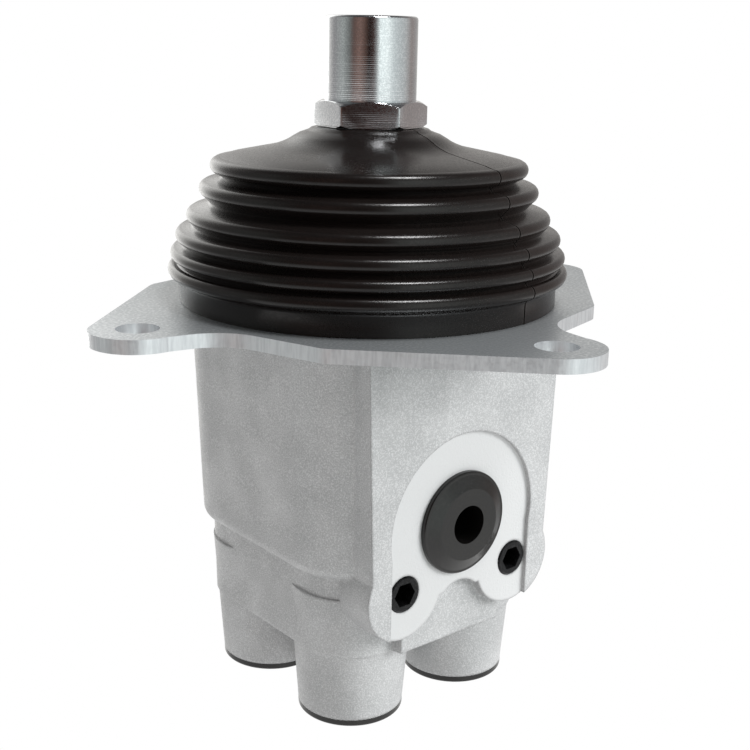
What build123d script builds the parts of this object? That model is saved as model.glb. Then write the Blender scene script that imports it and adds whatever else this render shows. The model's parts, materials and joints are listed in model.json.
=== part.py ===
"""Hydraulic pilot joystick valve: a cast body with four metering spools, worked by a tilting lever.

Frame: millimetres, +Z up along the lever. The origin is the centre of the panel bolt circle, on the
top face of the mounting plate. The inlet pad faces -Y. The four legs stand on the diagonals of X and Y.
The universal joint turns on two diagonal axes: U runs through legs 1 and 3, V through legs 2 and 4.
"""

import os
from math import atan, cos, degrees, pi, radians, sin, sqrt, tan

from build123d import *

# ---------------------------------------------------------------- driving dimensions, millimetres
fit = 0.03  # radial running clearance of a pin in its bore
seat_gap = 0.1  # clearance between parts that seat on each other
spring_gap = 0.12  # clearance at a spring's ground ends

# mounting plate
plate_thickness = 3.0
bolt_circle_radius = 59.4
bolt_hole_radius = 4.5
ear_radius = 10.0
flank_slope = 8.0  # degrees, of the ear's inner flank
notch_reach = 13.4  # from the bolt circle in to where the flank and the wall of the notch would meet
shoulder_reach = 20.8  # and to where that wall and the 45 degree side would meet
notch_radius = 12.0
shoulder_radius = 6.0

# casting
leg_offset = 16.0
leg_foot_radius = 12.1
leg_root_radius = 13.3
leg_bottom = -90.3
block_half_width = 34.5
block_corner_radius = 18.5
block_draft = 2.3  # degrees
block_bottom = -55.0
block_edge = 3.0
web_setback = 4.5  # of the web's sides behind the block's
leg_root_height = 14.0  # how far the legs run up into the web
web_corner_radius = 13.4
web_bottom = -74.0
web_draft = 1.2
front_stand = 0.9  # of the port block's face before the block's
port_half_width = 27.5
port_draft = 2.0
port_bottom = -57.5
front_web_half_width = 15.0
front_web_setback = 2.3
lobe_radius = 10.6
lobe_depth = 14.0
arch_radius = 7.0
arch_top = -59.0
inlet_height = -45.0
spot_face_radius = 20.8
spot_face_half_width = 20.4
spot_face_depth = 0.9
spot_face_reach = 40.0  # from the inlet down past the lobes
chamber_radius = 7.6
barrel_radius = 8.0
drain_height = -45.0
chamber_floor = -48.0
spool_radius = 4.0
port_radius = 5.9
port_top = -78.0
inlet_radius = 9.5
inlet_depth = 12.0
gallery_radius = 3.0
gallery_offset = 16.2
gallery_height = -58.0
gallery_plug_radius = 4.2
gallery_plug_length = 8.0
feed_radius = 2.0
tank_port_radius = 6.6
tank_port_depth = 13.0
tank_passage_radius = 3.5
tank_boss_radius = 12.0

# plate screws
screw_circle_radius = 26.0
screw_radius = 2.5
screw_head_radius = 4.9
screw_length = 14.0

# universal joint and lever
pivot_height = 11.0
pin_radius = 2.0
fork_end_radius = 4.5
fork_inner = 5.0
fork_outer = 8.0
cross_half_width = 4.3
cross_half_height = 3.2
joint_stem_radius = 5.0
joint_stem_length = 12.0
joint_stem_relief = 1.0
joint_flange_radius = 8.0
joint_flange_height = 2.0
crown_height = 7.6  # underside of the upper fork's crown, above the pivot
crown_thickness = 2.4
crown_radius = 10.0
stud_root_radius = 6.0
stud_radius = 5.1
stud_top = 45.6
stud_relief = 1.0

# swash plate
swash_gap = 0.3  # between a plunger's dome and the swash plate at rest
swash_radius = 26.0
swash_thickness = 4.0
swash_recess_radius = 12.6
swash_wall = 3.0
swash_hub_thickness = 3.2

# plungers, bushes and seals
plunger_radius = 3.5
plunger_bore_radius = 1.8
plunger_bore_top = -7.5
bush_nose_radius = 7.0
bush_nose_height = 2.0
bush_flange_radius = 9.5
bush_flange_thickness = 3.0
bush_bottom = -15.0
seal_groove_radius = 5.2
seal_height = -1.0
seal_section = 1.6
ring_height = -10.5
ring_section = 1.4
seat_top = -24.0
seat_thickness = 2.5
seat_radius = 7.0

# springs
return_coil_radius = 6.2
return_wire = 1.4
return_turns = 4.0
metering_coil_radius = 3.3
metering_wire = 0.9
metering_turns = 4.5

# spool
spool_collar_top = -40.0
spool_collar_thickness = 1.5
spool_collar_radius = 4.4
spool_stem_radius = 1.6
spool_stem_top = -15.5
spool_bottom = -75.0
spool_groove_radius = 2.4
spool_groove_width = 6.0
spool_hole_radius = 1.7

# handle coupling and lock nut
hex_across_flats = 22.0
hex_turn = 51.15  # degrees from +X to the middle of a flat
hex_bottom = 38.5
hex_top = 44.1
sleeve_radius = 10.2
sleeve_top = 62.1
sleeve_chamfer = 0.8
thread_radius = 6.25
coupling_neck_radius = 9.0
coupling_neck_bottom = 33.2
coupling_lip_radius = 10.4
coupling_bottom = 31.2
nut_across_flats = 19.0
nut_thickness = 5.3

# rubber boot, from the plate upwards: crests and roots of its folds as (radius, height)
boot_wall = 1.4
skirt_radius = 43.1
skirt_top = 4.6
folds = [
    (45.45, 6.9),
    (42.2, 8.7),
    (44.8, 10.5),
    (41.0, 12.5),
    (43.6, 14.5),
    (38.9, 16.7),
    (41.1, 18.8),
    (35.3, 21.8),
    (38.2, 24.7),
    (32.6, 27.3),
    (35.7, 29.8),
]
boot_shoulder = [(33.4, 31.6), (28.0, 32.8), (21.6, 34.0), (17.3, 36.0)]
boot_collar_radius = 13.4
boot_top = 38.3
boot_ring_width = 3.0
boot_ring_height = 4.4

# plugs
cap_thickness = 1.6
cap_stem_length = 6.5
plug_wall = 1.3
inlet_plug_radius = 11.8
inlet_plug_rim = 1.2
inlet_plug_step = 0.8
inlet_plug_rise = 2.5
inlet_plug_face_radius = 8.2
inlet_plug_hole_radius = 4.4
tank_plug_radius = 9.0
socket_across_flats = 5.0
socket_depth = 4.5

# ---------------------------------------------------------------- worked-out places
plate_bottom = -plate_thickness
notch_corner_x = bolt_circle_radius - notch_reach
shoulder_x = bolt_circle_radius - shoulder_reach
front_wall = block_half_width + front_stand
front_web_face = block_half_width - front_web_setback
web_half_width = block_half_width - web_setback
leg_taper = degrees(atan((leg_root_radius - leg_foot_radius) / (web_bottom - leg_bottom)))
port_taper_in = (plate_bottom - port_bottom) * tan(radians(port_draft))
legs = [
    (leg_offset, leg_offset),
    (-leg_offset, leg_offset),
    (-leg_offset, -leg_offset),
    (leg_offset, -leg_offset),
]
joint_frame = Plane(origin=(0, 0, pivot_height), x_dir=(1, 1, 0), z_dir=(0, 0, 1))
u_plane = Plane(origin=(0, 0, pivot_height), x_dir=(-1, 1, 0), z_dir=(1, 1, 0))  # across U, Y upwards
v_plane = Plane(origin=(0, 0, pivot_height), x_dir=(1, 1, 0), z_dir=(1, -1, 0))  # across V, Y upwards
contact_height = pivot_height + plunger_radius + swash_gap  # the swash plate's underside
base_fork_height = pivot_height - joint_flange_height
crown_top = pivot_height + crown_height + crown_thickness
hub_top = crown_top + swash_hub_thickness
front_plane = Plane(origin=(0, -front_wall, 0), x_dir=(1, 0, 0), z_dir=(0, -1, 0))
pad_plane = front_plane.offset(-spot_face_depth)
back_plane = Plane(origin=(0, block_half_width, 0), x_dir=(-1, 0, 0), z_dir=(0, 1, 0))

feed_y = -front_wall + inlet_depth - feed_radius - 1
feed_length = sqrt(gallery_offset**2 + (gallery_height - inlet_height) ** 2)
boot_ring_outer = skirt_radius - boot_wall - seat_gap
boot_ring_inner = boot_ring_outer - boot_ring_width
return_pitch = (seat_top - seat_thickness - chamber_floor - return_wire - 2 * spring_gap) / return_turns
metering_pitch = (
    seat_top - seat_thickness - spool_collar_top - metering_wire - 2 * spring_gap
) / metering_turns
inlet_cone_radius = inlet_plug_radius - inlet_plug_step
cone_taper = degrees(atan((inlet_cone_radius - inlet_plug_face_radius) / (inlet_plug_rise - inlet_plug_rim)))

os.makedirs("parts", exist_ok=True)


def save(name, shape):
    """Labels a finished piece and writes it as its own STEP file."""
    shape.label = name
    export_step(shape, f"parts/{name}.step")


def corner_radius(across_flats):
    """Radius of the circle through a hexagon's corners."""
    return across_flats / 2 / cos(pi / 6)


# ---------------------------------------------------------------- mounting plate
with BuildPart() as mounting_plate:
    with BuildSketch(Plane.XY.offset(plate_bottom)):
        side_reach = bolt_circle_radius + ear_radius * sqrt(2)  # x + y along each straight side
        flank = radians(flank_slope)
        ear_low = (bolt_circle_radius - ear_radius * sin(flank), ear_radius * cos(flank))
        notch_corner_y = ear_low[1] + (ear_low[0] - notch_corner_x) * tan(flank)
        ear_high = (ear_radius / sqrt(2), bolt_circle_radius + ear_radius / sqrt(2))
        for turn in range(4):
            with BuildLine(Plane.XY.rotated((0, 0, 90 * turn))):
                Line((0, 0), (bolt_circle_radius, 0))
                Line((bolt_circle_radius, 0), ear_low)
                FilletPolyline(
                    ear_low,
                    (notch_corner_x, notch_corner_y),
                    (shoulder_x, side_reach - shoulder_x),
                    ear_high,
                    radius=(notch_radius, shoulder_radius),
                )
                Line(ear_high, (0, bolt_circle_radius))
                Line((0, bolt_circle_radius), (0, 0))
            make_face()
        with PolarLocations(bolt_circle_radius, 4):
            Circle(ear_radius)
            Circle(bolt_hole_radius, mode=Mode.SUBTRACT)
        Circle(joint_stem_radius + seat_gap, mode=Mode.SUBTRACT)
        with Locations(*legs):
            Circle(bush_nose_radius + seat_gap, mode=Mode.SUBTRACT)
    extrude(amount=plate_thickness)
    with PolarLocations(screw_circle_radius, 4):
        CounterSinkHole(screw_radius + seat_gap, screw_head_radius + seat_gap)
save("mounting_plate", mounting_plate.part)

# countersunk screws that hold the plate to the casting
with BuildPart() as plate_screws:
    with BuildSketch(Plane.XY.offset(-seat_gap)):
        with PolarLocations(screw_circle_radius, 4):
            Circle(screw_head_radius)
    extrude(amount=-(screw_head_radius - screw_radius), taper=45)
    with BuildSketch(Plane.XY.offset(-seat_gap)):
        with PolarLocations(screw_circle_radius, 4):
            Circle(screw_radius)
    extrude(amount=-screw_length)
    with BuildSketch(Plane.XY.offset(-seat_gap)):
        with PolarLocations(screw_circle_radius, 4):
            RegularPolygon(corner_radius(3.0), 6)
    extrude(amount=-1.8, mode=Mode.SUBTRACT)
save("plate_screws", plate_screws.part)

# ---------------------------------------------------------------- cast body
with BuildPart() as valve_body:
    # upper block, with a corner over every leg
    with BuildSketch(Plane.XY.offset(plate_bottom)):
        RectangleRounded(2 * block_half_width, 2 * block_half_width, block_corner_radius)
    extrude(amount=block_bottom - plate_bottom, taper=block_draft)
    fillet(valve_body.edges().group_by(Axis.Z)[0], block_edge)
    # web between the legs
    with BuildSketch(Plane.XY.offset(block_bottom + 2 * block_edge)):
        RectangleRounded(2 * web_half_width, 2 * web_half_width, web_corner_radius)
    extrude(amount=web_bottom - block_bottom - 2 * block_edge, taper=web_draft)
    with BuildSketch(Plane.XZ.offset(front_web_face - 4)):
        with Locations((0, (block_bottom + web_bottom) / 2 + 1)):
            Rectangle(2 * front_web_half_width, block_bottom - web_bottom + 2)
    extrude(amount=4, taper=5)
    # legs
    with BuildSketch(Plane.XY.offset(leg_bottom)):
        with Locations(*legs):
            Circle(leg_foot_radius)
    extrude(amount=web_bottom + leg_root_height - leg_bottom, taper=-leg_taper)
    # port block with a boss round each gallery plug
    with BuildSketch(front_plane):
        with BuildLine():
            Polyline(
                (-port_half_width, plate_bottom),
                (port_half_width, plate_bottom),
                (port_half_width - port_taper_in, port_bottom),
                (-port_half_width + port_taper_in, port_bottom),
                close=True,
            )
        make_face()
        with Locations((-gallery_offset, gallery_height), (gallery_offset, gallery_height)):
            Circle(lobe_radius)
        with Locations((0, port_bottom)):
            Rectangle(2 * gallery_offset, lobe_radius / 3, align=(Align.CENTER, Align.MAX))
        with Locations((0, arch_top - arch_radius)):
            Circle(arch_radius, mode=Mode.SUBTRACT)
            Rectangle(2 * arch_radius, 3 * arch_radius, align=(Align.CENTER, Align.MAX), mode=Mode.SUBTRACT)
    extrude(amount=-lobe_depth)
    # spot face, milled round the inlet and down over both gallery plugs
    with BuildSketch(pad_plane):
        with Locations((0, inlet_height)):
            Circle(spot_face_radius)
            Rectangle(2 * spot_face_half_width, spot_face_reach, align=(Align.CENTER, Align.MAX))
    extrude(amount=2 * spot_face_depth, mode=Mode.SUBTRACT)
    # tank port's boss, at the back
    with BuildSketch(back_plane.offset(-6)):
        with Locations((0, inlet_height)):
            Circle(tank_boss_radius)
    extrude(amount=6, taper=2)

    # lever joint's socket, and the seat, chamber, bore and port of each spool
    with Locations((0, 0, plate_bottom)):
        Hole(joint_stem_radius + fit, joint_stem_length + joint_stem_relief)
        with PolarLocations(screw_circle_radius, 4):
            Hole(screw_radius + seat_gap, screw_length)
    with BuildSketch(Plane.XY.offset(plate_bottom)):
        with Locations(*legs):
            Circle(bush_flange_radius + seat_gap)
    extrude(amount=-bush_flange_thickness - seat_gap, mode=Mode.SUBTRACT)
    with BuildSketch(Plane.XY.offset(plate_bottom)):
        with Locations(*legs):
            Circle(chamber_radius)
    extrude(amount=chamber_floor - plate_bottom, mode=Mode.SUBTRACT)
    with BuildSketch(Plane.XY.offset(plate_bottom)):
        with Locations(*legs):
            Circle(barrel_radius + fit)
    extrude(amount=bush_bottom - plate_bottom, mode=Mode.SUBTRACT)
    with BuildSketch(Plane.XY.offset(chamber_floor + 1)):
        with Locations(*legs):
            Circle(spool_radius)
    extrude(amount=port_top - chamber_floor - 2, mode=Mode.SUBTRACT)
    with BuildSketch(Plane.XY.offset(leg_bottom)):
        with Locations(*legs):
            Circle(port_radius)
    extrude(amount=port_top - leg_bottom, mode=Mode.SUBTRACT)

    # inlet port, and the galleries that carry its oil past all four spools
    with BuildSketch(front_plane):
        with Locations((0, inlet_height)):
            Circle(inlet_radius)
    extrude(amount=-inlet_depth, mode=Mode.SUBTRACT)
    with BuildSketch(front_plane):
        with Locations((-gallery_offset, gallery_height), (gallery_offset, gallery_height)):
            Circle(gallery_radius)
    extrude(amount=-front_wall - leg_offset, mode=Mode.SUBTRACT)
    with BuildSketch(front_plane):
        with Locations((-gallery_offset, gallery_height), (gallery_offset, gallery_height)):
            Circle(gallery_plug_radius + fit)
    extrude(amount=-gallery_plug_length - spot_face_depth, mode=Mode.SUBTRACT)
    for side in (1, -1):
        feed_direction = (side * gallery_offset, 0, gallery_height - inlet_height)
        with BuildSketch(Plane((0, feed_y, inlet_height), z_dir=feed_direction)):
            Circle(feed_radius)
        extrude(amount=feed_length, mode=Mode.SUBTRACT)

    # tank port, and the drillings that drain every chamber into it
    with BuildSketch(back_plane):
        with Locations((0, inlet_height)):
            Circle(tank_port_radius)
    extrude(amount=-tank_port_depth, mode=Mode.SUBTRACT)
    with BuildSketch(back_plane):
        with Locations((0, inlet_height)):
            Circle(tank_passage_radius)
    extrude(amount=-block_half_width, mode=Mode.SUBTRACT)
    for x, y in legs:
        with BuildSketch(Plane((0, 0, drain_height), z_dir=(x, y, 0))):
            Circle(feed_radius)
        extrude(amount=leg_offset * sqrt(2), mode=Mode.SUBTRACT)
save("valve_body", valve_body.part)

# ---------------------------------------------------------------- universal joint
with BuildPart() as joint_base:
    with BuildSketch():
        Circle(joint_flange_radius)
    extrude(amount=joint_flange_height)
    with BuildSketch():
        Circle(joint_stem_radius)
    extrude(amount=-joint_stem_length)
    chamfer(joint_base.faces().sort_by(Axis.Z)[0].edges(), 0.6)
    with BuildSketch(u_plane, mode=Mode.PRIVATE) as ear_outline:
        Circle(fork_end_radius)
        Rectangle(2 * fork_end_radius, base_fork_height, align=(Align.CENTER, Align.MAX))
        Circle(pin_radius + fit, mode=Mode.SUBTRACT)
    extrude(ear_outline.sketch, amount=fork_outer, both=True)
    with BuildSketch(u_plane):
        Circle(fork_end_radius + 1)
        Rectangle(2 * fork_end_radius + 2, base_fork_height, align=(Align.CENTER, Align.MAX))
    extrude(amount=fork_inner, both=True, mode=Mode.SUBTRACT)
save("joint_base", joint_base.part)

with BuildPart() as joint_cross:
    with BuildSketch(joint_frame.offset(-cross_half_height)):
        RectangleRounded(2 * cross_half_width, 2 * cross_half_width, 1.2)
    extrude(amount=2 * cross_half_height)
    chamfer(joint_cross.faces().filter_by(Axis.Z).edges(), 0.5)
    with BuildSketch(u_plane, v_plane):
        Circle(pin_radius)
    extrude(amount=fork_outer, both=True)
save("joint_cross", joint_cross.part)

with BuildPart() as joint_yoke:
    with BuildSketch(joint_frame.offset(crown_height)):
        Circle(crown_radius)
    extrude(amount=crown_thickness)
    with BuildSketch(Plane.XY.offset(crown_top)):
        Circle(stud_root_radius)
    extrude(amount=swash_hub_thickness + nut_thickness)
    with BuildSketch(Plane.XY.offset(hub_top + nut_thickness)):
        Circle(stud_radius)
    extrude(amount=stud_top - hub_top - nut_thickness)
    chamfer(joint_yoke.faces().sort_by(Axis.Z)[-1].edges(), 0.8)
    with BuildSketch(v_plane, mode=Mode.PRIVATE) as ear_outline:
        Circle(fork_end_radius)
        Rectangle(2 * fork_end_radius, crown_height, align=(Align.CENTER, Align.MIN))
        Circle(pin_radius + fit, mode=Mode.SUBTRACT)
    extrude(ear_outline.sketch, amount=fork_outer, both=True)
    with BuildSketch(v_plane):
        Circle(fork_end_radius + 1)
        Rectangle(2 * fork_end_radius + 2, crown_height, align=(Align.CENTER, Align.MIN))
    extrude(amount=fork_inner, both=True, mode=Mode.SUBTRACT)
save("joint_yoke", joint_yoke.part)

# ---------------------------------------------------------------- lever
with BuildPart() as swash_plate:
    with BuildSketch(Plane.XZ):
        with BuildLine():
            Polyline(
                (stud_root_radius + fit, crown_top),
                (swash_recess_radius, crown_top),
                (swash_recess_radius, contact_height),
                (swash_radius, contact_height),
                (swash_radius, contact_height + swash_thickness),
                (swash_recess_radius + swash_wall, contact_height + swash_thickness),
                (swash_recess_radius + swash_wall - 1.5, hub_top),
                (stud_root_radius + fit, hub_top),
                close=True,
            )
        make_face()
    revolve(axis=Axis.Z)
    chamfer(swash_plate.edges().filter_by(GeomType.CIRCLE).sort_by(SortBy.LENGTH)[-2:], 0.6)
save("swash_plate", swash_plate.part)

with BuildPart() as lock_nut:
    with BuildSketch(Plane.XY.offset(hub_top)):
        RegularPolygon(corner_radius(nut_across_flats), 6)
    extrude(amount=nut_thickness)
    with BuildSketch(Plane.XY.offset(hub_top)):
        Circle(stud_root_radius + fit)
    extrude(amount=nut_thickness, mode=Mode.SUBTRACT)
save("lock_nut", lock_nut.part)

with BuildPart() as handle_coupling:
    with BuildSketch(Plane.XZ):
        with BuildLine():
            Polyline(
                (0, coupling_bottom),
                (coupling_lip_radius, coupling_bottom),
                (coupling_lip_radius, coupling_neck_bottom),
                (coupling_neck_radius, coupling_neck_bottom),
                (coupling_neck_radius, hex_bottom + 1),
                (sleeve_radius, hex_bottom + 1),
                (sleeve_radius, sleeve_top - sleeve_chamfer),
                (sleeve_radius - sleeve_chamfer, sleeve_top),
                (0, sleeve_top),
                close=True,
            )
        make_face()
    revolve(axis=Axis.Z)
    with BuildSketch(Plane.XY.offset(hex_bottom)):
        RegularPolygon(corner_radius(hex_across_flats), 6, rotation=hex_turn + 30)
    extrude(amount=hex_top - hex_bottom)
    with BuildSketch(Plane.XY.offset(coupling_bottom)):
        Circle(stud_radius + fit)
    extrude(amount=stud_top + stud_relief - coupling_bottom, mode=Mode.SUBTRACT)
    with BuildSketch(Plane.XY.offset(stud_top + stud_relief)):
        Circle(thread_radius)
    extrude(amount=sleeve_top - stud_top - stud_relief, mode=Mode.SUBTRACT)
    chamfer(handle_coupling.faces().sort_by(Axis.Z)[-1].edges().sort_by(SortBy.LENGTH)[0], sleeve_chamfer)
save("handle_coupling", handle_coupling.part)

# ---------------------------------------------------------------- rubber boot
outer_line = [(skirt_radius, skirt_top)] + folds + boot_shoulder + [(boot_collar_radius, boot_top - 1)]
inner_line = [(r - boot_wall, z) for r, z in [(skirt_radius, skirt_top)] + folds]
inner_line += [(r - boot_wall / 3, z - boot_wall) for r, z in boot_shoulder]
inner_line += [(boot_collar_radius - boot_wall, coupling_neck_bottom + seat_gap)]
with BuildPart() as boot:
    with BuildSketch(Plane.XZ):
        with BuildLine():
            Spline(outer_line)
            Polyline(
                outer_line[-1],
                (boot_collar_radius, boot_top),
                (coupling_neck_radius + seat_gap, boot_top),
                (coupling_neck_radius + seat_gap, coupling_neck_bottom + seat_gap),
                inner_line[-1],
            )
            Spline(inner_line)
            Polyline(inner_line[0], (skirt_radius - boot_wall, 0), (skirt_radius, 0), outer_line[0])
        make_face()
    revolve(axis=Axis.Z)
save("boot", boot.part)

with BuildPart() as boot_seat_ring:
    with BuildSketch(Plane.XZ):
        with BuildLine():
            Polyline(
                (boot_ring_inner, 0),
                (boot_ring_outer, 0),
                (boot_ring_outer, boot_ring_height),
                (boot_ring_inner, boot_ring_height),
                close=True,
            )
        make_face()
    revolve(axis=Axis.Z)
    chamfer(boot_seat_ring.faces().sort_by(Axis.Z)[-1].edges(), 0.5)
save("boot_seat_ring", boot_seat_ring.part)

# ---------------------------------------------------------------- stations, one over each leg
for number, (x, y) in enumerate(legs, 1):
    with BuildPart() as guide_bush:
        with BuildSketch(Plane((x, y, 0), x_dir=(1, 0, 0), z_dir=(0, -1, 0))):
            with BuildLine():
                Polyline(
                    (plunger_radius + fit, bush_bottom),
                    (barrel_radius, bush_bottom),
                    (barrel_radius, ring_height - ring_section / 2),
                    (barrel_radius - ring_section / 1.5, ring_height - ring_section / 2),
                    (barrel_radius - ring_section / 1.5, ring_height + ring_section / 2),
                    (barrel_radius, ring_height + ring_section / 2),
                    (barrel_radius, plate_bottom - bush_flange_thickness),
                    (bush_flange_radius, plate_bottom - bush_flange_thickness),
                    (bush_flange_radius, plate_bottom),
                    (bush_nose_radius, plate_bottom),
                    (bush_nose_radius, bush_nose_height - 0.6),
                    (bush_nose_radius - 0.6, bush_nose_height),
                    (plunger_radius + fit, bush_nose_height),
                    (plunger_radius + fit, seal_height + seal_section / 2),
                    (seal_groove_radius, seal_height + seal_section / 2),
                    (seal_groove_radius, seal_height - seal_section / 2),
                    (plunger_radius + fit, seal_height - seal_section / 2),
                    close=True,
                )
            make_face()
        revolve(axis=Axis((x, y, 0), (0, 0, 1)))
    save(f"guide_bush_{number}", guide_bush.part)

    with BuildPart() as plunger:
        with BuildSketch(Plane.XY.offset(seat_top)):
            with Locations((x, y)):
                Circle(plunger_radius)
                Circle(plunger_bore_radius, mode=Mode.SUBTRACT)
        extrude(amount=plunger_bore_top - seat_top)
        with BuildSketch(Plane.XY.offset(plunger_bore_top)):
            with Locations((x, y)):
                Circle(plunger_radius)
        extrude(amount=pivot_height - plunger_bore_top)
        with Locations((x, y, pivot_height)):
            Sphere(plunger_radius)
    save(f"plunger_{number}", plunger.part)

    with BuildPart() as spring_seat:
        with BuildSketch(Plane.XY.offset(seat_top)):
            with Locations((x, y)):
                Circle(seat_radius)
                Circle(plunger_bore_radius + seat_gap, mode=Mode.SUBTRACT)
        extrude(amount=-seat_thickness)
        chamfer(spring_seat.edges().filter_by(GeomType.CIRCLE).sort_by(SortBy.LENGTH)[-2:], 0.4)
    save(f"spring_seat_{number}", spring_seat.part)

    with BuildPart() as return_spring:
        with BuildLine(Plane((x, y, chamber_floor + spring_gap + return_wire / 2))) as coil:
            Helix(return_pitch, return_pitch * return_turns, return_coil_radius)
        with BuildSketch(Plane(coil.line @ 0, z_dir=coil.line % 0)):
            Circle(return_wire / 2)
        sweep(path=coil.line)
    save(f"return_spring_{number}", return_spring.part)

    with BuildPart() as metering_spring:
        with BuildLine(Plane((x, y, spool_collar_top + spring_gap + metering_wire / 2))) as coil:
            Helix(metering_pitch, metering_pitch * metering_turns, metering_coil_radius)
        with BuildSketch(Plane(coil.line @ 0, z_dir=coil.line % 0)):
            Circle(metering_wire / 2)
        sweep(path=coil.line)
    save(f"metering_spring_{number}", metering_spring.part)

    with BuildPart() as spool:
        with BuildSketch(Plane((x, y, 0), x_dir=(1, 0, 0), z_dir=(0, -1, 0))):
            with BuildLine():
                Polyline(
                    (0, spool_stem_top),
                    (spool_stem_radius, spool_stem_top),
                    (spool_stem_radius, spool_collar_top),
                    (spool_collar_radius, spool_collar_top),
                    (spool_collar_radius, spool_collar_top - spool_collar_thickness),
                    (spool_radius - fit, spool_collar_top - spool_collar_thickness),
                    (spool_radius - fit, gallery_height + spool_groove_width / 2),
                    (spool_groove_radius, gallery_height + spool_groove_width / 2),
                    (spool_groove_radius, gallery_height - spool_groove_width / 2),
                    (spool_radius - fit, gallery_height - spool_groove_width / 2),
                    (spool_radius - fit, spool_bottom),
                    (spool_hole_radius, spool_bottom),
                    (spool_hole_radius, spool_bottom + 8),
                    (0, spool_bottom + 8),
                    close=True,
                )
            make_face()
        revolve(axis=Axis((x, y, 0), (0, 0, 1)))
        with BuildSketch(Plane((x, y, spool_bottom + 7), z_dir=(1, 0, 0))):
            Circle(0.9)
        extrude(amount=spool_radius, both=True, mode=Mode.SUBTRACT)
    save(f"spool_{number}", spool.part)

    with BuildPart() as port_cap:
        with BuildSketch(Plane.XY.offset(leg_bottom)):
            with Locations((x, y)):
                Circle(leg_foot_radius)
        extrude(amount=-cap_thickness)
        fillet(port_cap.edges().sort_by(Axis.Z)[0], 0.6)
        with BuildSketch(Plane.XY.offset(leg_bottom)):
            with Locations((x, y)):
                Circle(port_radius - fit)
                Circle(port_radius - fit - plug_wall, mode=Mode.SUBTRACT)
        extrude(amount=cap_stem_length)
    save(f"port_cap_{number}", port_cap.part)

# ---------------------------------------------------------------- seals
with BuildPart() as rod_seals:
    with BuildSketch(Plane.XY.offset(seal_height - seal_section / 2 + fit)):
        with Locations(*legs):
            Circle(seal_groove_radius - fit)
            Circle(plunger_radius + fit, mode=Mode.SUBTRACT)
    extrude(amount=seal_section - 2 * fit)
save("rod_seals", rod_seals.part)

with BuildPart() as bush_orings:
    with BuildSketch(Plane.XY.offset(ring_height - ring_section / 2 + fit)):
        with Locations(*legs):
            Circle(barrel_radius)
            Circle(barrel_radius - ring_section / 1.5 + fit, mode=Mode.SUBTRACT)
    extrude(amount=ring_section - 2 * fit)
save("bush_orings", bush_orings.part)

# ---------------------------------------------------------------- plugs
with BuildPart() as inlet_port_plug:
    with BuildSketch(Plane.XZ.offset(front_wall - spot_face_depth)):
        with Locations((0, inlet_height)):
            Circle(inlet_plug_radius)
    extrude(amount=inlet_plug_rim)
    with BuildSketch(Plane.XZ.offset(front_wall - spot_face_depth + inlet_plug_rim)):
        with Locations((0, inlet_height)):
            Circle(inlet_cone_radius)
    extrude(amount=inlet_plug_rise - inlet_plug_rim, taper=cone_taper)
    with BuildSketch(Plane.XZ.offset(front_wall - spot_face_depth)):
        with Locations((0, inlet_height)):
            Circle(inlet_radius - fit)
    extrude(amount=-inlet_depth + spot_face_depth + 1)
    with BuildSketch(Plane.XZ.offset(front_wall + inlet_plug_rise)):
        with Locations((0, inlet_height)):
            Circle(inlet_plug_hole_radius)
    extrude(amount=-inlet_depth, mode=Mode.SUBTRACT)
    fillet(inlet_port_plug.edges().filter_by(GeomType.CIRCLE).sort_by(SortBy.LENGTH)[-1:], 0.5)
save("inlet_port_plug", inlet_port_plug.part)

with BuildPart() as tank_port_plug:
    with BuildSketch(back_plane):
        with Locations((0, inlet_height)):
            Circle(tank_plug_radius)
    extrude(amount=cap_thickness)
    fillet(tank_port_plug.edges().sort_by(Axis.Y)[-1], 0.6)
    with BuildSketch(back_plane):
        with Locations((0, inlet_height)):
            Circle(tank_port_radius - fit)
            Circle(tank_port_radius - fit - plug_wall, mode=Mode.SUBTRACT)
    extrude(amount=-tank_port_depth + 4)
save("tank_port_plug", tank_port_plug.part)

for side, x in (("left", -gallery_offset), ("right", gallery_offset)):
    with BuildPart() as gallery_plug:
        with BuildSketch(pad_plane.offset(0.3)):
            with Locations((x, gallery_height)):
                Circle(gallery_plug_radius)
        extrude(amount=-gallery_plug_length)
        chamfer(gallery_plug.edges().sort_by(Axis.Y)[0], 0.4)
        with BuildSketch(pad_plane.offset(0.3)):
            with Locations((x, gallery_height)):
                RegularPolygon(corner_radius(socket_across_flats), 6)
        extrude(amount=-socket_depth, mode=Mode.SUBTRACT)
    save(f"gallery_plug_{side}", gallery_plug.part)
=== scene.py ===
"""Looks for a hydraulic pilot joystick valve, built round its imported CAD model."""

import json
import logging
import math
from dataclasses import dataclass
from enum import Enum

import bpy
from mathutils import Matrix, Vector


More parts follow.
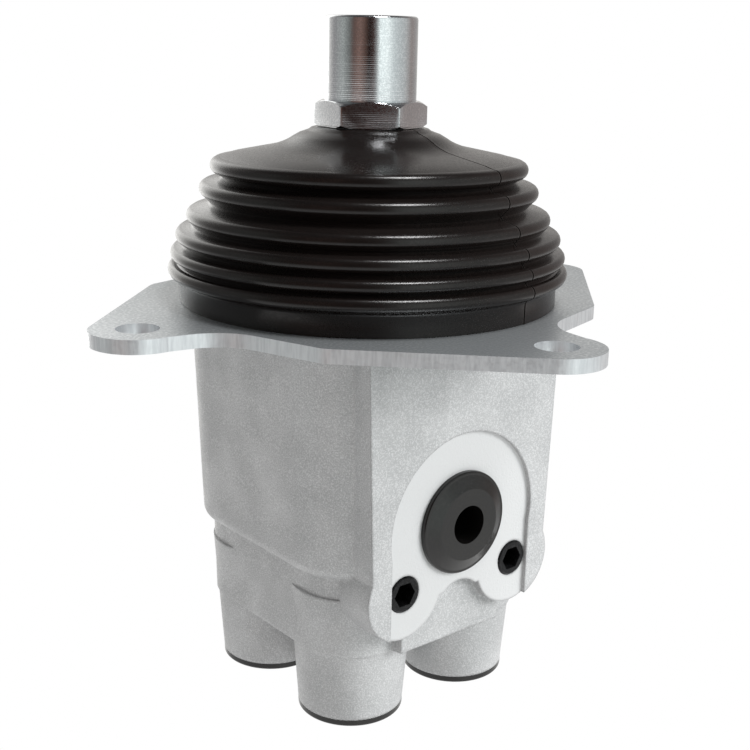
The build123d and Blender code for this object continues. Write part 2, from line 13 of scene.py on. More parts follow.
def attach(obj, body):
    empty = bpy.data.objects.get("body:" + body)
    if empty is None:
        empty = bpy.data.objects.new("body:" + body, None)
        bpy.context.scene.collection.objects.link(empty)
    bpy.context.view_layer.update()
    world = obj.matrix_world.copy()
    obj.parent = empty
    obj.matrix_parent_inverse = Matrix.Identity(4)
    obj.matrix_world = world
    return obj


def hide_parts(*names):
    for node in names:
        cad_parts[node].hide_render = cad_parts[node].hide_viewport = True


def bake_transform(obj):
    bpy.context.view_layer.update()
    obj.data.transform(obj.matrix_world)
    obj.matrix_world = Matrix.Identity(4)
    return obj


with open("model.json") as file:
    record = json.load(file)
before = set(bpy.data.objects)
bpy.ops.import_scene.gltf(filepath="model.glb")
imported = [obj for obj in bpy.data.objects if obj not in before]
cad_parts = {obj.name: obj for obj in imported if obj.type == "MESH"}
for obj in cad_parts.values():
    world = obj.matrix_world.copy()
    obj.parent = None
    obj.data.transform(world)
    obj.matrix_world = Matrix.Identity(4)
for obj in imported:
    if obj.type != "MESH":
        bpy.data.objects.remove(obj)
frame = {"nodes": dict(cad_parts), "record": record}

logging.basicConfig(level=logging.INFO, format="%(levelname)s %(message)s")
log = logging.getLogger("pilot_valve")

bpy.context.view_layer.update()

MM = 0.001
Colour = tuple[float, float, float]


class Body(Enum):
    """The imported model's bodies that new pieces ride on."""

    HOUSING = "housing"
    CROSS = "cross"
    LEVER = "lever"


# ---------------------------------------------------------------- node helpers
class Graph:
    """A node tree that is built from left to right."""

    def __init__(self, tree: bpy.types.NodeTree) -> None:
        self.tree = tree
        self.column = 0

    def add(self, kind: str, inputs: dict | None = None, **settings) -> bpy.types.Node:
        """Adds a node.

        Args:
            kind: the node's bl_idname.
            inputs: input name or index to a constant or to another node's output.
            settings: attributes to set on the node.

        Returns:
            The new node.
        """
        node = self.tree.nodes.new(kind)
        self.column += 1
        node.location = (200 * self.column, -120 * (self.column % 5))
        for name, value in settings.items():
            setattr(node, name, value)
        for name, value in (inputs or {}).items():
            socket = node.inputs[name]
            if isinstance(value, bpy.types.NodeSocket):
                self.tree.links.new(value, socket)
            else:
                socket.default_value = value
        return node

    def math(self, operation: str, a, b=0.0, c=0.0, clamp: bool = False):
        """Adds a Math node and returns its output."""
        return self.add("ShaderNodeMath", {0: a, 1: b, 2: c}, operation=operation, use_clamp=clamp).outputs[0]

    def ramp(self, value, low: float, high: float, out_low: float = 0.0, out_high: float = 1.0):
        """Maps value from low..high to out_low..out_high, smoothly and clamped."""
        return self.add(
            "ShaderNodeMapRange",
            {"Value": value, "From Min": low, "From Max": high, "To Min": out_low, "To Max": out_high},
            interpolation_type="SMOOTHSTEP",
        ).outputs["Result"]

    def ramp_linear(self, value, low: float, high: float):
        """Maps value from low..high to 0..1 in a straight line."""
        limits = {"Value": value, "From Min": low, "From Max": high}
        return self.add("ShaderNodeMapRange", limits).outputs["Result"]

    def mix(self, factor, a, b):
        """Mixes two colours and returns the result."""
        node = self.add("ShaderNodeMix", data_type="RGBA")
        for socket, value in ((node.inputs[0], factor), (node.inputs[6], a), (node.inputs[7], b)):
            if isinstance(value, bpy.types.NodeSocket):
                self.tree.links.new(value, socket)
            else:
                socket.default_value = value
        return node.outputs[2]


def new_group(name: str, outputs: dict[str, str], inputs: dict[str, tuple[str, float]] | None = None):
    """Makes a shader node group.

    Args:
        name: the group's name.
        outputs: output name to socket type.
        inputs: input name to socket type and default.

    Returns:
        The tree, its Graph, its input node and its output node.
    """
    tree = bpy.data.node_groups.new(name, "ShaderNodeTree")
    for label, (kind, default) in (inputs or {}).items():
        socket = tree.interface.new_socket(label, in_out="INPUT", socket_type=kind)
        socket.default_value = default
    for label, kind in outputs.items():
        tree.interface.new_socket(label, in_out="OUTPUT", socket_type=kind)
    entry = tree.nodes.new("NodeGroupInput")
    leave = tree.nodes.new("NodeGroupOutput")
    return tree, Graph(tree), entry, leave


def grain_group() -> bpy.types.NodeTree:
    """Cast or moulded grain: a height, a fine speckle and a slow mottle, on Object coordinates."""
    tree, graph, entry, leave = new_group(
        "grain",
        {"Height": "NodeSocketFloat", "Speckle": "NodeSocketFloat", "Mottle": "NodeSocketFloat"},
        {"Scale": ("NodeSocketFloat", 1500.0)},
    )
    place = graph.add("ShaderNodeTexCoord").outputs["Object"]
    scale = entry.outputs["Scale"]
    cell_scale, slow_scale, speck_scale = (graph.math("MULTIPLY", scale, share) for share in (0.8, 0.04, 1.7))
    fine = graph.add("ShaderNodeTexNoise", {"Vector": place, "Scale": scale, "Detail": 3.0, "Roughness": 0.6})
    cells = graph.add("ShaderNodeTexVoronoi", {"Vector": place, "Scale": cell_scale})
    slow = graph.add("ShaderNodeTexNoise", {"Vector": place, "Scale": slow_scale, "Detail": 4.0})
    speck = graph.add("ShaderNodeTexNoise", {"Vector": place, "Scale": speck_scale, "Detail": 2.0})
    height = graph.math("ADD", fine.outputs[0], graph.math("MULTIPLY", cells.outputs["Distance"], 0.6))
    tree.links.new(height, leave.inputs["Height"])
    tree.links.new(graph.ramp(speck.outputs[0], 0.42, 0.68), leave.inputs["Speckle"])
    tree.links.new(graph.ramp(slow.outputs[0], 0.3, 0.7), leave.inputs["Mottle"])
    return tree


def turned_group() -> bpy.types.NodeTree:
    """The height of fine rings left by a lathe, round the row's Z axis."""
    tree, graph, entry, leave = new_group(
        "turned", {"Height": "NodeSocketFloat"}, {"Pitch": ("NodeSocketFloat", 0.0004)}
    )
    place = graph.add("ShaderNodeTexCoord").outputs["Object"]
    z = graph.add("ShaderNodeSeparateXYZ", {0: place}).outputs["Z"]
    turns = graph.math("DIVIDE", z, entry.outputs["Pitch"])
    ring = graph.math("SINE", graph.math("MULTIPLY", turns, 2 * math.pi))
    along = graph.math("MULTIPLY", z, 700.0)
    drift = graph.add("ShaderNodeTexNoise", {"W": along, "Detail": 3.0}, noise_dimensions="1D")
    height = graph.math("ADD", graph.math("MULTIPLY", ring, 0.3), drift.outputs[0])
    tree.links.new(height, leave.inputs["Height"])
    return tree


def spot_face_group() -> bpy.types.NodeTree:
    """A mask of the milled pad: faces that look along -Y at the pad's depth."""
    tree, graph, entry, leave = new_group(
        "spot_face", {"Mask": "NodeSocketFloat"}, {"Depth": ("NodeSocketFloat", -0.0345)}
    )
    least_facing = -0.95
    depth_tolerance = 0.0002
    place = graph.add("ShaderNodeTexCoord").outputs["Object"]
    y = graph.add("ShaderNodeSeparateXYZ", {0: place}).outputs["Y"]
    normal = graph.add("ShaderNodeNewGeometry").outputs["True Normal"]
    normal_y = graph.add("ShaderNodeSeparateXYZ", {0: normal}).outputs["Y"]
    facing = graph.math("LESS_THAN", normal_y, least_facing)
    depth = graph.math("COMPARE", y, entry.outputs["Depth"], depth_tolerance)
    tree.links.new(graph.math("MULTIPLY", facing, depth), leave.inputs["Mask"])
    return tree


def cut_edge_group() -> bpy.types.NodeTree:
    """A mask of upright faces, and streaks across the sheet's thickness."""
    tree, graph, entry, leave = new_group(
        "cut_edge",
        {"Mask": "NodeSocketFloat", "Streak": "NodeSocketFloat"},
        {"Scale": ("NodeSocketFloat", 1500.0)},
    )
    upright_stretch = 0.12
    place = graph.add("ShaderNodeTexCoord").outputs["Object"]
    normal = graph.add("ShaderNodeNewGeometry").outputs["True Normal"]
    up = graph.math("ABSOLUTE", graph.add("ShaderNodeSeparateXYZ", {0: normal}).outputs["Z"])
    stretched = graph.add("ShaderNodeMapping", {"Vector": place, "Scale": (1.0, 1.0, upright_stretch)})
    streak = graph.add(
        "ShaderNodeTexNoise", {"Vector": stretched.outputs[0], "Scale": entry.outputs["Scale"], "Detail": 3.0}
    )
    tree.links.new(graph.ramp(up, 0.3, 0.6, 1.0, 0.0), leave.inputs["Mask"])
    tree.links.new(graph.ramp(streak.outputs[0], 0.35, 0.65), leave.inputs["Streak"])
    return tree


# ---------------------------------------------------------------- finishes
PARTING = "parting_arc"


@dataclass(frozen=True)
class Finish:
    """How one material looks: linear colours, gloss and relief. Lengths are in metres."""

    name: str
    dark: Colour
    light: Colour
    metallic: float
    rough_low: float
    rough_high: float
    grain_scale: float
    bump: float
    bump_depth: float = 0.00003
    turned: float = 0.0
    specular: float = 0.5
    soft_edge: float = 0.0
    mottle_share: float = 0.3

    def build(self, groups: dict[str, bpy.types.NodeTree]) -> bpy.types.Material:
        """Makes the material.

        Args:
            groups: shared node groups by name.

        Returns:
            The finished material.
        """
        material = bpy.data.materials.new(self.name)
        material.use_nodes = True
        tree = material.node_tree
        tree.nodes.clear()
        graph = Graph(tree)
        grain = graph.add("ShaderNodeGroup", node_tree=groups["grain"])
        grain.inputs["Scale"].default_value = self.grain_scale
        mottle, speckle, height = (grain.outputs[n] for n in ("Mottle", "Speckle", "Height"))
        slow = graph.math("MULTIPLY", mottle, self.mottle_share)
        blend = graph.math("ADD", slow, graph.math("MULTIPLY", speckle, 1 - self.mottle_share))
        colour = graph.mix(blend, (*self.dark, 1.0), (*self.light, 1.0))
        rough = graph.ramp(blend, 0.0, 1.0, self.rough_high, self.rough_low)
        if self.turned:
            turned = graph.add("ShaderNodeGroup", node_tree=groups["turned"])
            height = graph.math("ADD", height, graph.math("MULTIPLY", turned.outputs["Height"], self.turned))
        principled = graph.add(
            "ShaderNodeBsdfPrincipled",
            {
                "Base Color": self.tint(graph, colour, groups),
                "Metallic": self.metallic,
                "Roughness": rough,
                "Specular IOR Level": self.gloss(graph),
            },
        )
        relief = graph.add(
            "ShaderNodeBump", {"Height": height, "Strength": self.bump, "Distance": self.bump_depth}
        )
        if self.soft_edge:
            worn = graph.add("ShaderNodeBevel", {"Radius": self.soft_edge}, samples=8)
            tree.links.new(worn.outputs["Normal"], relief.inputs["Normal"])
        tree.links.new(relief.outputs["Normal"], principled.inputs["Normal"])
        out = graph.add("ShaderNodeOutputMaterial")
        tree.links.new(principled.outputs[0], out.inputs["Surface"])
        return material

    def tint(self, graph: Graph, colour, groups: dict[str, bpy.types.NodeTree]):
        """The colour after any local marks. The plain finish has none."""
        return colour

    def gloss(self, graph: Graph):
        """How strongly the surface mirrors. The plain finish is the same all over."""
        return self.specular


@dataclass(frozen=True)
class CastFinish(Finish):
    """Cast metal with a milled pad that shows brighter."""

    milled: Colour = (0.60, 0.605, 0.61)

    def tint(self, graph: Graph, colour, groups: dict[str, bpy.types.NodeTree]):
        """Brightens the milled pad."""
        mask = graph.add("ShaderNodeGroup", node_tree=groups["spot_face"])
        return graph.mix(mask.outputs["Mask"], colour, (*self.milled, 1.0))


@dataclass(frozen=True)
class MouldedFinish(Finish):
    """Rubber with the fine line where the mould's halves met, kept in the piece's own attribute, its centre
    darkened with painted shade.
    """

    line_width: float = 0.24
    flash: Colour = (0.018, 0.015, 0.014)
    # painted shade: near-black colour for the parting line's centre, standing in for the shade where the line
    # breaks the rubber's highlights
    painted_seam_shade: Colour = (0.001, 0.001, 0.001)

    def from_seam(self, graph: Graph):
        """The distance from the parting plane, in millimetres like line_width."""
        arc = graph.add("ShaderNodeAttribute", attribute_name=PARTING).outputs["Fac"]
        return graph.math("ABSOLUTE", arc)

    def tint(self, graph: Graph, colour, groups: dict[str, bpy.types.NodeTree]):
        """Lightens the flash beside the parting line and darkens the line's centre with painted shade."""
        near = self.from_seam(graph)
        beside = graph.ramp(near, self.line_width, 2 * self.line_width, 1.0, 0.0)
        # mask of the painted shade along the parting line's centre
        seam_shade_mask = graph.ramp(near, 0.5 * self.line_width, self.line_width, 1.0, 0.0)
        return graph.mix(seam_shade_mask, graph.mix(beside, colour, (*self.flash, 1.0)), (*self.painted_seam_shade, 1.0))

    def gloss(self, graph: Graph):
        """Takes the shine off along the parting line, which then shows as a thin dark line."""
        near = self.from_seam(graph)
        return graph.ramp(near, 0.7 * self.line_width, 1.1 * self.line_width, 0.0, self.specular)


@dataclass(frozen=True)
class SheetFinish(Finish):
    """Zinc-plated sheet whose cut edge is brighter and streaked across its thickness."""

    edge: Colour = (0.70, 0.72, 0.74)
    edge_dark: Colour = (0.60, 0.62, 0.64)

    def tint(self, graph: Graph, colour, groups: dict[str, bpy.types.NodeTree]):
        """Streaks the cut edge."""
        cut = graph.add("ShaderNodeGroup", node_tree=groups["cut_edge"])
        streaked = graph.mix(cut.outputs["Streak"], (*self.edge_dark, 1.0), (*self.edge, 1.0))
        return graph.mix(cut.outputs["Mask"], colour, streaked)


FINISHES = {
    finish.name: finish
    for finish in (
        CastFinish(
            "cast_aluminium",
            dark=(0.40, 0.405, 0.41),
            light=(0.60, 0.605, 0.61),
            metallic=0.35,
            rough_low=0.36,
            rough_high=0.6,
            grain_scale=2200,
            bump=0.9,
            bump_depth=0.00006,
            soft_edge=0.0011,
        ),
        SheetFinish(
            "zinc_steel",
            dark=(0.40, 0.425, 0.44),
            light=(0.57, 0.595, 0.61),
            metallic=0.8,
            rough_low=0.28,
            rough_high=0.42,
            grain_scale=900,
            bump=0.25,
            bump_depth=0.00002,
        ),
        Finish(
            "bright_zinc",
            dark=(0.60, 0.62, 0.64),
            light=(0.84, 0.85, 0.87),
            metallic=1.0,
            rough_low=0.09,
            rough_high=0.19,
            grain_scale=1600,
            bump=0.35,
            bump_depth=0.00002,
            turned=2.6,
        ),
        Finish(
            "ground_steel",
            dark=(0.42, 0.42, 0.43),
            light=(0.66, 0.66, 0.67),
            metallic=1.0,
            rough_low=0.2,
            rough_high=0.34,
            grain_scale=1200,
            bump=0.2,
            bump_depth=0.00001,
        ),
        Finish(
            "spring_steel",
            dark=(0.20, 0.20, 0.22),
            light=(0.42, 0.42, 0.45),
            metallic=1.0,
            rough_low=0.25,
            rough_high=0.4,
            grain_scale=1500,
            bump=0.2,
            bump_depth=0.00001,
        ),
        MouldedFinish(
            "boot_rubber",
            dark=(0.0036, 0.0026, 0.0024),
            light=(0.0085, 0.0062, 0.0056),
            metallic=0.0,
            rough_low=0.17,
            rough_high=0.28,
            grain_scale=1400,
            bump=0.2,
            bump_depth=0.00002,
            specular=0.36,
        ),
        Finish(
            "seal_rubber",
            dark=(0.012, 0.012, 0.012),
            light=(0.03, 0.03, 0.03),
            metallic=0.0,
            rough_low=0.4,
            rough_high=0.6,
            grain_scale=900,
            bump=0.3,
            bump_depth=0.00002,
        ),
        Finish(
            "black_plastic",
            dark=(0.004, 0.0037, 0.0035),
            light=(0.012, 0.011, 0.0105),
            metallic=0.0,
            rough_low=0.12,
            rough_high=0.24,
            grain_scale=1400,
            bump=0.2,
            bump_depth=0.00002,
        ),
        Finish(
            "black_steel",
            dark=(0.006, 0.006, 0.0065),
            light=(0.03, 0.03, 0.032),
            metallic=0.7,
            rough_low=0.2,
            rough_high=0.4,
            grain_scale=1200,
            bump=0.3,
            bump_depth=0.00002,
        ),
    )
}


class Paint:
    """Builds every finish once and puts each on its pieces."""

    def __init__(self) -> None:
        groups = {
            "grain": grain_group(),
            "turned": turned_group(),
            "spot_face": spot_face_group(),
            "cut_edge": cut_edge_group(),
        }
        self.materials = {name: finish.build(groups) for name, finish in FINISHES.items()}

    def coat(self, obj: bpy.types.Object, slot: str) -> None:
        """Gives obj the finish of one of the record's material slots."""
        if not obj.material_slots:
            obj.data.materials.append(self.materials[slot])
        for entry in obj.material_slots:
            entry.material = self.materials[slot]
        log.info("%s takes %s", obj.name, slot)

    def coat_frame(self) -> None:
        """Gives each CAD node the finish that the record names."""
        for part in frame["record"]["subparts"]:
            self.coat(frame["nodes"][part["node"]], part["material_slot"])


# ---------------------------------------------------------------- turning
def lathe(name: str, rings: list[tuple[float, float]], steps: int) -> bpy.types.Object:
    """Extrudes a circle ring by ring.

    Args:
        name: the new piece's name.
        rings: radius and height of each ring, in millimetres.
        steps: how many corners each ring has.

    Returns:
        The open skin, selected in Object mode.
    """
    bpy.ops.object.select_all(action="DESELECT")
    radius, height = rings[0]
    bpy.ops.mesh.primitive_circle_add(vertices=steps, radius=radius * MM, location=(0, 0, height * MM))
    skin = bpy.context.object
    skin.name = name
    bpy.ops.object.transform_apply(location=True, rotation=True, scale=True)
    bpy.ops.object.mode_set(mode="EDIT")
    bpy.ops.mesh.select_all(action="SELECT")
    for next_radius, next_height in rings[1:]:
        rise = (0, 0, (next_height - height) * MM)
        bpy.ops.mesh.extrude_region_move(TRANSFORM_OT_translate={"value": rise})
        grow = next_radius / radius
        bpy.ops.transform.resize(value=(grow, grow, 1), center_override=(0, 0, 0))
        radius, height = next_radius, next_height
    bpy.ops.mesh.select_all(action="SELECT")
    bpy.ops.mesh.normals_make_consistent(inside=False)
    bpy.ops.object.mode_set(mode="OBJECT")
    return skin


# ---------------------------------------------------------------- the boot
@dataclass(frozen=True)
class Fold:
    """One rounded crest of the boot and the valley above it, in millimetres."""

    radius: float
    height: float
    bead: float
    valley: tuple[float, float] | None = None


@dataclass
class Boot:
    """The ribbed rubber boot, in millimetres and degrees.

    It is two pieces: the lower, with the skirt and folds, and the upper, with the shoulder and cone.
    """

    wall: float = 1.4
    steps: int = 192
    parting_angle: float = -79.0
    parting_rise: float = 0.12
    flash_width: float = 0.3
    bend_start: float = 4.6
    bend_end: float = 36.5
    smooth_angle: float = 50.0
    bead_angles: range = range(-62, 71, 22)
    lip_width: float = 0.5
    lip_height: float = 0.55
    skirt: tuple[tuple[float, float], ...] = ((43.1, 0.05), (43.1, 2.2), (43.15, 4.4), (43.5, 5.1))
    folds: tuple[Fold, ...] = (
        Fold(45.45, 6.9, 1.55, (43.0, 8.7)),
        Fold(44.8, 10.5, 1.4, (41.9, 12.5)),
        Fold(43.6, 14.5, 1.55, (39.8, 16.7)),
        Fold(41.1, 18.8, 1.65, (36.0, 21.8)),
        Fold(38.2, 24.7, 1.7, (33.2, 27.3)),
        Fold(35.7, 29.75, 1.7),
    )
    shoulder: tuple[tuple[float, float], ...] = (
        (33.4, 31.55),
        (31.5, 32.1),
        (28.0, 32.8),
        (24.0, 33.6),
        (21.6, 34.1),
    )
    cone: tuple[tuple[float, float], ...] = (
        (19.7, 34.8),
        (18.4, 35.4),
        (17.3, 36.1),
        (15.9, 36.9),
        (14.6, 37.35),
        (13.7, 37.7),
        (13.2, 38.1),
        (12.4, 38.3),
        (9.3, 38.3),
    )

    def lower_profile(self) -> list[tuple[float, float]]:
        """Radius and height of each ring from the plate to the top fold's rim."""
        rings = list(self.skirt)
        for fold in self.folds:
            rings += [
                (
                    fold.radius - fold.bead + fold.bead * math.cos(math.radians(angle)),
                    fold.height + fold.bead * math.sin(math.radians(angle)),
                )
                for angle in self.bead_angles
            ]
            if fold.valley:
                r, z = fold.valley
                lip = r + self.lip_width
                rings += [(lip, z - self.lip_height), (r, z), (lip, z + self.lip_height)]
        return rings + [self.shoulder[0]]

    def mark_parting_line(self, skin: bpy.types.Object) -> None:
        """Writes each point's distance from the mould's parting plane, and raises the flash there."""
        arc = skin.data.attributes.new(PARTING, "FLOAT", "POINT")
        bearing = math.radians(self.parting_angle)
        plane = Vector((-math.sin(bearing), math.cos(bearing), 0))
        for vertex in skin.data.vertices:
            distance = vertex.co.dot(plane) / MM
            arc.data[vertex.index].value = distance
            if abs(distance) < self.flash_width:
                outward = Vector((vertex.co.x, vertex.co.y, 0)).normalized()
                vertex.co += outward * self.parting_rise * MM

    def finish(self, skin: bpy.types.Object, paint: Paint) -> None:
        """Gives the skin its wall, smooth faces and rubber."""
        bpy.ops.object.select_all(action="DESELECT")
        skin.select_set(True)
        bpy.context.view_layer.objects.active = skin
        wall = skin.modifiers.new("wall", "SOLIDIFY")
        wall.thickness = self.wall * MM
        wall.offset = -1
        bpy.ops.object.modifier_apply(modifier=wall.name)
        bpy.ops.object.shade_smooth_by_angle(angle=math.radians(self.smooth_angle))
        paint.coat(skin, "boot_rubber")

    def build(self, paint: Paint) -> None:
        """Makes both pieces."""
        lower = lathe("boot_folds", self.lower_profile(), self.steps)
        upper = lathe("boot_cone", [*self.shoulder, *self.cone], self.steps)
        for skin in (lower, upper):
            self.mark_parting_line(skin)
            self.finish(skin, paint)
            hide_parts("boot")
        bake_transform(lower)
        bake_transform(upper)
        log.info("boot with %d folds", len(self.folds))


# ---------------------------------------------------------------- the handle coupling
@dataclass
class Coupling:
    """The turned sleeve and its hexagon, whose corners are cut back by a cone, in millimetres and degrees."""

    steps: int = 128
    across_flats: float = 22.0
    hex_bottom: float = 38.5
    hex_top: float = 44.1
    hex_turn: float = 51.15
    hex_edge: float = 0.12
    hex_bevel_angle: float = 25.0
    hex_smooth_angle: float = 20.0
    sleeve_smooth_angle: float = 40.0
    neck: tuple[tuple[float, float], ...] = (
        (5.13, 31.2),
        (10.4, 31.2),
        (10.4, 33.2),
        (9.0, 33.2),
        (9.0, 38.55),
    )
    sleeve: tuple[tuple[float, float], ...] = (
        (10.2, 44.05),
        (10.2, 61.35),
        (10.12, 61.7),
        (9.9, 61.95),
        (9.55, 62.08),
        (9.2, 62.1),
        (7.4, 62.1),
        (7.05, 62.05),
        (6.25, 61.3),
        (6.25, 46.6),
        (5.13, 46.6),
    )
    cone: tuple[tuple[float, float], ...] = (
        (11.75, 38.5),
        (12.72, 39.15),
        (12.72, 42.95),
        (11.6, 43.75),
        (10.9, 44.1),
    )

    def hexagon(self) -> bpy.types.Object:
        """Makes the hexagon: a prism, cut by a turned blank with sloping shoulders.

        Returns:
            The chamfered hexagon.
        """
        bpy.ops.object.select_all(action="DESELECT")
        bpy.ops.mesh.primitive_cylinder_add(
            vertices=6,
            radius=self.across_flats / 2 / math.cos(math.pi / 6) * MM,
            depth=(self.hex_top - self.hex_bottom) * MM,
            location=(0, 0, (self.hex_top + self.hex_bottom) / 2 * MM),
            rotation=(0, 0, math.radians(self.hex_turn)),
        )
        prism = bpy.context.object
        prism.name = "coupling_hexagon"
        bpy.ops.object.transform_apply(location=True, rotation=True, scale=True)
        blank = lathe("hexagon_blank", list(self.cone), self.steps)
        bpy.ops.object.mode_set(mode="EDIT")
        bpy.ops.mesh.select_all(action="SELECT")
        bpy.ops.mesh.fill_holes(sides=0)
        bpy.ops.mesh.normals_make_consistent(inside=False)
        bpy.ops.object.mode_set(mode="OBJECT")
        bpy.ops.object.select_all(action="DESELECT")
        prism.select_set(True)
        bpy.context.view_layer.objects.active = prism
        cut = prism.modifiers.new("cone", "BOOLEAN")
        cut.operation = "INTERSECT"
        cut.object = blank
        cut.solver = "EXACT"
        bpy.ops.object.modifier_apply(modifier=cut.name)
        edge = prism.modifiers.new("edge", "BEVEL")
        edge.width = self.hex_edge * MM
        edge.segments = 2
        edge.limit_method = "ANGLE"
        edge.angle_limit = math.radians(self.hex_bevel_angle)
        bpy.ops.object.modifier_apply(modifier=edge.name)
        bpy.ops.object.shade_smooth_by_angle(angle=math.radians(self.hex_smooth_angle))
        bpy.data.objects.remove(blank, do_unlink=True)
        return prism

    def build(self, paint: Paint) -> None:
        """Makes the coupling's turned body and hexagon, both on the lever."""
        body = lathe("coupling_sleeve", [*self.neck, *self.sleeve], self.steps)
        bpy.ops.object.mode_set(mode="EDIT")
        bpy.ops.mesh.select_all(action="DESELECT")
        bpy.ops.mesh.select_non_manifold()
        bpy.ops.mesh.bridge_edge_loops()
        bpy.ops.mesh.select_all(action="SELECT")
        bpy.ops.mesh.normals_make_consistent(inside=False)
        bpy.ops.object.mode_set(mode="OBJECT")
        bpy.ops.object.shade_smooth_by_angle(angle=math.radians(self.sleeve_smooth_angle))
        for piece in (body, self.hexagon()):
            paint.coat(piece, "bright_zinc")
            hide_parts("handle_coupling")
            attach(piece, Body.LEVER.value)
            log.info("%s rides on the lever", piece.name)


# ---------------------------------------------------------------- springs
LEG_OFFSET = 16.0
LEGS = {
    1: (LEG_OFFSET, LEG_OFFSET),
    2: (-LEG_OFFSET, LEG_OFFSET),
    3: (-LEG_OFFSET, -LEG_OFFSET),
    4: (LEG_OFFSET, -LEG_OFFSET),
}


@dataclass(frozen=True)
class Spring:
    """One kind of coil spring under the plungers, in millimetres."""

    name: str
    coil_radius: float
    wire: float
    turns: float
    low: float
    high: float
    steps_per_turn: int = 36
    sides: int = 12
    smooth_angle: float = 50.0

    def coil(self, number: int) -> bpy.types.Object:
        """Winds one spring.

        Args:
            number: the leg that it stands over.

        Returns:
            The closed coil, in its place.
        """
        x, y = LEGS[number]
        bpy.ops.object.select_all(action="DESELECT")
        bpy.ops.mesh.primitive_circle_add(
            vertices=self.sides,
            radius=self.wire / 2 * MM,
            location=(self.coil_radius * MM, 0, (self.low + self.wire / 2) * MM),
            rotation=(math.pi / 2, 0, 0),
        )
        spring = bpy.context.object
        spring.name = f"{self.name}_coil_{number}"
        bpy.ops.object.transform_apply(location=True, rotation=True, scale=True)
        wind = spring.modifiers.new("wind", "SCREW")
        wind.angle = 2 * math.pi * self.turns
        wind.screw_offset = (self.high - self.low - self.wire) * MM
        wind.steps = wind.render_steps = round(self.steps_per_turn * self.turns)
        bpy.ops.object.modifier_apply(modifier=wind.name)
        bpy.ops.object.mode_set(mode="EDIT")
        bpy.ops.mesh.select_all(action="SELECT")
        bpy.ops.mesh.fill_holes(sides=0)
        bpy.ops.mesh.normals_make_consistent(inside=False)
        bpy.ops.object.mode_set(mode="OBJECT")
        bpy.ops.object.shade_smooth_by_angle(angle=math.radians(self.smooth_angle))
        spring.location = (x * MM, y * MM, 0)
        bpy.ops.object.transform_apply(location=True, rotation=True, scale=True)
        return spring

    def build(self, paint: Paint) -> None:
        """Winds all four, each over its leg."""
        for number, (x, y) in LEGS.items():
            spring = self.coil(number)
            paint.coat(spring, "spring_steel")
            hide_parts(f"{self.name}_{number}")
            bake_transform(spring)
            log.info("%s shortens with its plunger", spring.name)


SPRINGS = (
    Spring("return_spring", coil_radius=6.2, wire=1.4, turns=4.0, low=-47.88, high=-26.62),
    Spring("metering_spring", coil_radius=3.3, wire=0.9, turns=4.5, low=-39.88, high=-26.62),
)


# ---------------------------------------------------------------- stage
@dataclass(frozen=True)
class Lamp:
    """One square area light, in metres and watts."""

    name: str
    place: tuple[float, float, float]
    size: float
    power: float
    glossy: bool

    def build(self, target: tuple[float, float, float]) -> None:
        """Adds the light, turned to look at target. Only a glossy one shows in reflections."""
        bpy.ops.object.select_all(action="DESELECT")
        bpy.ops.object.light_add(type="AREA", location=self.place)
        lamp = bpy.context.object
        lamp.name = self.name
        lamp.data.size = self.size
        lamp.data.energy = self.power
        lamp.visible_glossy = self.glossy
        lamp.rotation_euler = (Vector(target) - Vector(self.place)).to_track_quat("-Z", "Y").to_euler()


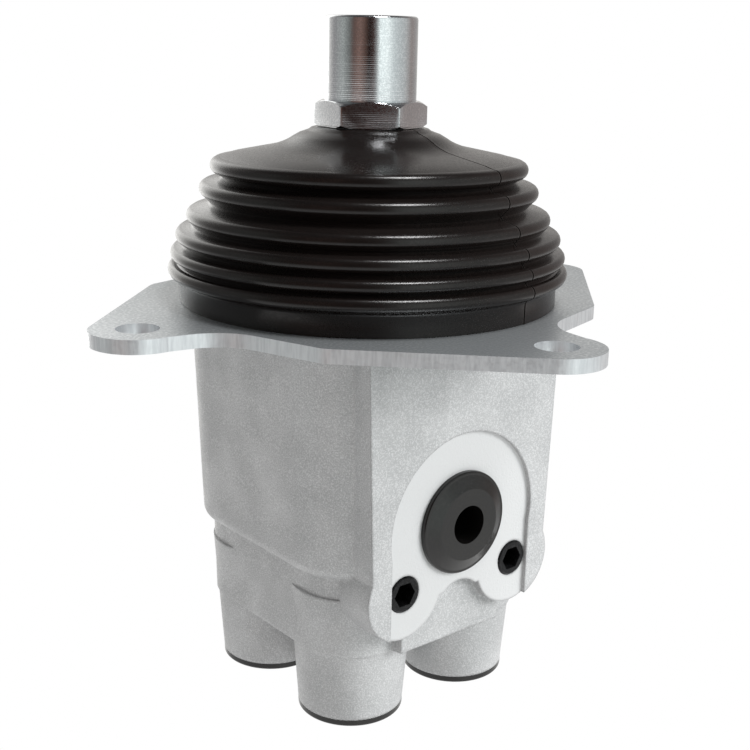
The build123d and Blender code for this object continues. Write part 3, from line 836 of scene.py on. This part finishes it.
class Stage:
    """Camera, lights and white background, in metres and degrees.

    The walls are colours at bearings counted from the camera's side of the room, and were chosen
    so that the metal and the boot mirror, from this camera, what they mirror in the photograph.
    Heights are the Z of a ray's direction.
    """

    view_bearing = -128.85
    camera_place = (-0.17208, -0.21365, 0.05686)
    camera_azimuth = -38.85
    camera_yaw = 0.452
    camera_pitch = 15.51
    camera_roll = 1.09
    lens = 57.8
    sensor_width = 36.0
    clip_start = 0.01
    lit_point = (0, 0, -0.01)
    lamps = (
        Lamp("key_right", (0.45, -0.60, 0.25), 0.4, 7.6, False),
        Lamp("fill_left", (-0.75, -0.05, 0.1), 0.5, 0.9, False),
        Lamp("top", (0.05, -0.25, 0.7), 0.22, 4.0, True),
    )
    room_strength = 0.8
    wall_top = 0.35
    ceiling_height = 0.9
    wall_foot = -0.1
    floor_height = -0.6
    soft_ceiling = (0.75, 0.76, 0.78)
    mirrored_ceiling = (0.07, 0.07, 0.072)
    floor = (1.28, 1.28, 1.27)
    walls = (
        (-180, (0.95, 0.92, 0.88)),
        (-170, (1.00, 0.98, 0.95)),
        (-158, (3.00, 2.98, 2.90)),
        (-140, (2.80, 2.78, 2.70)),
        (-125, (0.85, 0.83, 0.80)),
        (-105, (0.42, 0.41, 0.41)),
        (-75, (0.50, 0.53, 0.51)),
        (-55, (0.22, 0.23, 0.22)),
        (-45, (0.16, 0.10, 0.085)),
        (-28, (0.30, 0.19, 0.16)),
        (-14, (0.12, 0.07, 0.055)),
        (-5, (0.012, 0.007, 0.007)),
        (6, (0.07, 0.035, 0.03)),
        (13, (0.30, 0.30, 0.30)),
        (22, (1.45, 1.58, 1.54)),
        (40, (1.45, 1.56, 1.52)),
        (60, (0.88, 0.95, 0.94)),
        (92, (0.70, 0.72, 0.71)),
        (118, (0.42, 0.36, 0.34)),
        (150, (0.52, 0.50, 0.49)),
        (179, (0.95, 0.92, 0.88)),
    )

    def camera(self) -> None:
        """Sets the camera where the photograph was taken from."""
        bpy.ops.object.select_all(action="DESELECT")
        bpy.ops.object.camera_add(location=self.camera_place)
        camera = bpy.context.object
        camera.data.lens = self.lens
        camera.data.sensor_width = self.sensor_width
        camera.data.clip_start = self.clip_start
        angles = (self.camera_azimuth, self.camera_yaw, self.camera_pitch, self.camera_roll)
        azimuth, yaw, pitch, roll = (math.radians(angle) for angle in angles)
        level = math.cos(pitch)
        forward = Vector((level * math.sin(yaw), level * math.cos(yaw), -math.sin(pitch)))
        forward = Matrix.Rotation(azimuth, 3, "Z") @ forward
        turn = forward.to_track_quat("-Z", "Y").to_matrix() @ Matrix.Rotation(roll, 3, "Z")
        camera.matrix_world = Matrix.Translation(camera.location) @ turn.to_4x4()
        bpy.context.scene.camera = camera

    def wall_colour(self, graph: Graph, look: bpy.types.Node):
        """The wall's colour at a ray's bearing.

        Args:
            graph: the world's nodes.
            look: the ray's direction as separate X, Y and Z.

        Returns:
            The colour's socket.
        """
        bearing = graph.math("ARCTAN2", look.outputs["Y"], look.outputs["X"])
        off_view = graph.math("SUBTRACT", bearing, math.radians(self.view_bearing))
        across = graph.math("WRAP", off_view, math.pi, -math.pi)
        walls = graph.add("ShaderNodeValToRGB", {"Fac": graph.ramp_linear(across, -math.pi, math.pi)})
        stops = walls.color_ramp.elements
        for place, colour in self.walls:
            stop = stops.new(0.5 + place / 360) if place > -180 else stops[0]
            stop.color = (*colour, 1.0)
        stops.remove(stops[len(stops) - 1])
        return walls.outputs["Color"]

    def world(self) -> None:
        """White to the camera, and a room with dark and bright walls as light."""
        world = bpy.data.worlds.new("studio")
        bpy.context.scene.world = world
        world.use_nodes = True
        world.node_tree.nodes.clear()
        graph = Graph(world.node_tree)
        rays = graph.add("ShaderNodeLightPath")
        seen = graph.add("ShaderNodeBackground", {"Color": (1, 1, 1, 1), "Strength": 1.0})
        look = graph.add("ShaderNodeSeparateXYZ", {0: graph.add("ShaderNodeTexCoord").outputs["Generated"]})
        glossy = rays.outputs["Is Glossy Ray"]
        ceiling = graph.mix(glossy, (*self.soft_ceiling, 1.0), (*self.mirrored_ceiling, 1.0))
        upward = graph.ramp(look.outputs["Z"], self.wall_top, self.ceiling_height)
        downward = graph.ramp(look.outputs["Z"], self.floor_height, self.wall_foot, 1.0, 0.0)
        roofed = graph.mix(upward, self.wall_colour(graph, look), ceiling)
        room = graph.mix(downward, roofed, (*self.floor, 1.0))
        soft = graph.add("ShaderNodeBackground", {"Color": room, "Strength": self.room_strength})
        out = graph.add("ShaderNodeOutputWorld")
        join = graph.add("ShaderNodeMixShader", {0: rays.outputs["Is Camera Ray"]})
        world.node_tree.links.new(soft.outputs[0], join.inputs[1])
        world.node_tree.links.new(seen.outputs[0], join.inputs[2])
        world.node_tree.links.new(join.outputs[0], out.inputs["Surface"])

    def build(self) -> None:
        """Sets the whole stage."""
        self.camera()
        for lamp in self.lamps:
            lamp.build(self.lit_point)
        self.world()
        bpy.context.scene.view_settings.view_transform = "Standard"


def main() -> None:
    """Builds the whole picture."""
    paint = Paint()
    paint.coat_frame()
    Boot().build(paint)
    Coupling().build(paint)
    for spring in SPRINGS:
        spring.build(paint)
    Stage().build()


if __name__ == "__main__":
    main()
